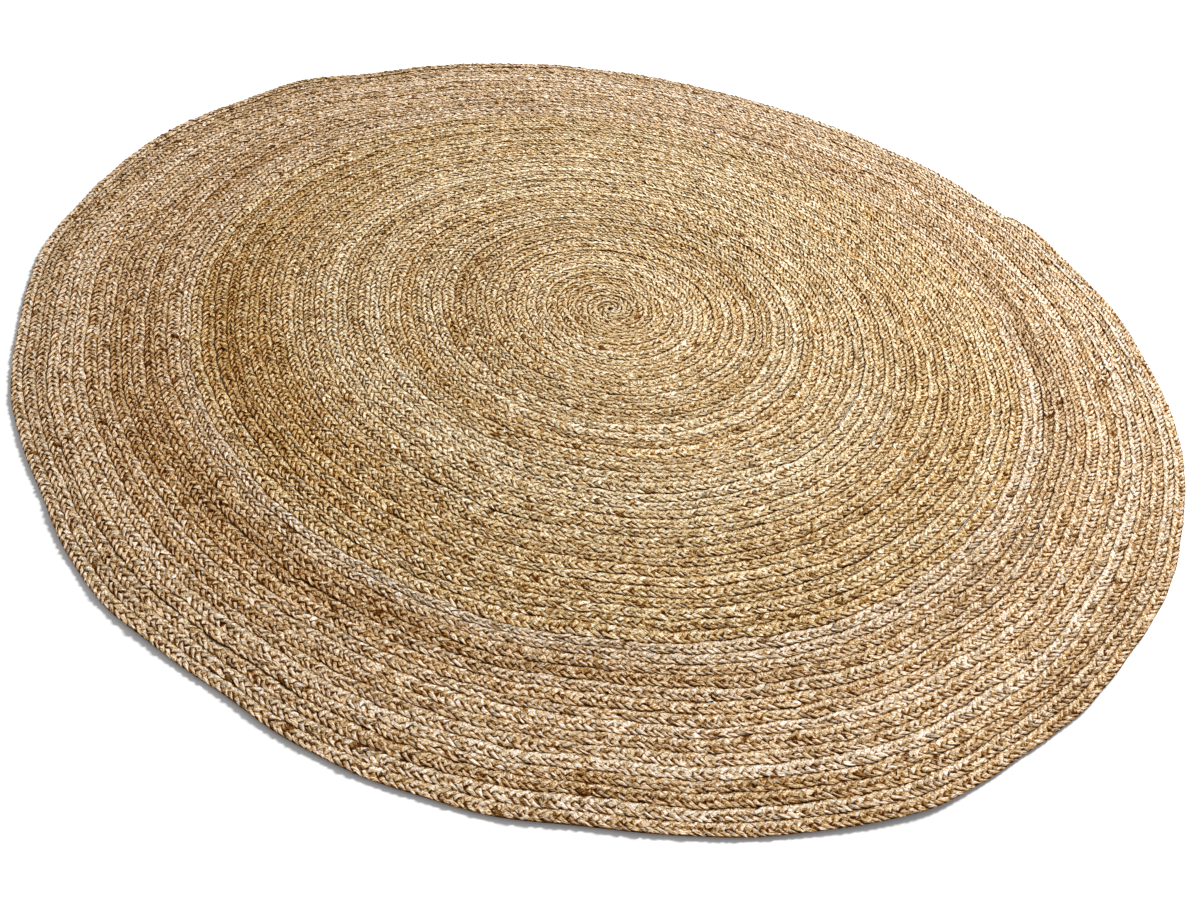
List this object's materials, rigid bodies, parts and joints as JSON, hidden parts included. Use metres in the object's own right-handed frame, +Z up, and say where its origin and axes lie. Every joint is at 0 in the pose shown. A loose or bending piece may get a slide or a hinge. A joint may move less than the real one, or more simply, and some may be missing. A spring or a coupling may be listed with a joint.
{
  "type": "round jute rug",
  "caption": "Round floor rug of one flat three-strand jute braid, coiled in a spiral from the middle and sewn edge to edge.",
  "frame": {"origin": "middle of the rug's reach in plan, at the level of the floor it lies on", "axes": "+Z up, through the rug's thickness; +X to the right and +Y to the back as the rug is looked at from its near side"},
  "size_m": [2.413, 2.3704, 0.017],
  "materials": {
    "jute": "natural undyed jute yarn, dry and fibrous, golden tan with cream and brown streaks"
  },
  "bodies": {
    "root": {"rug": "jute"}
  },
  "joints": []
}
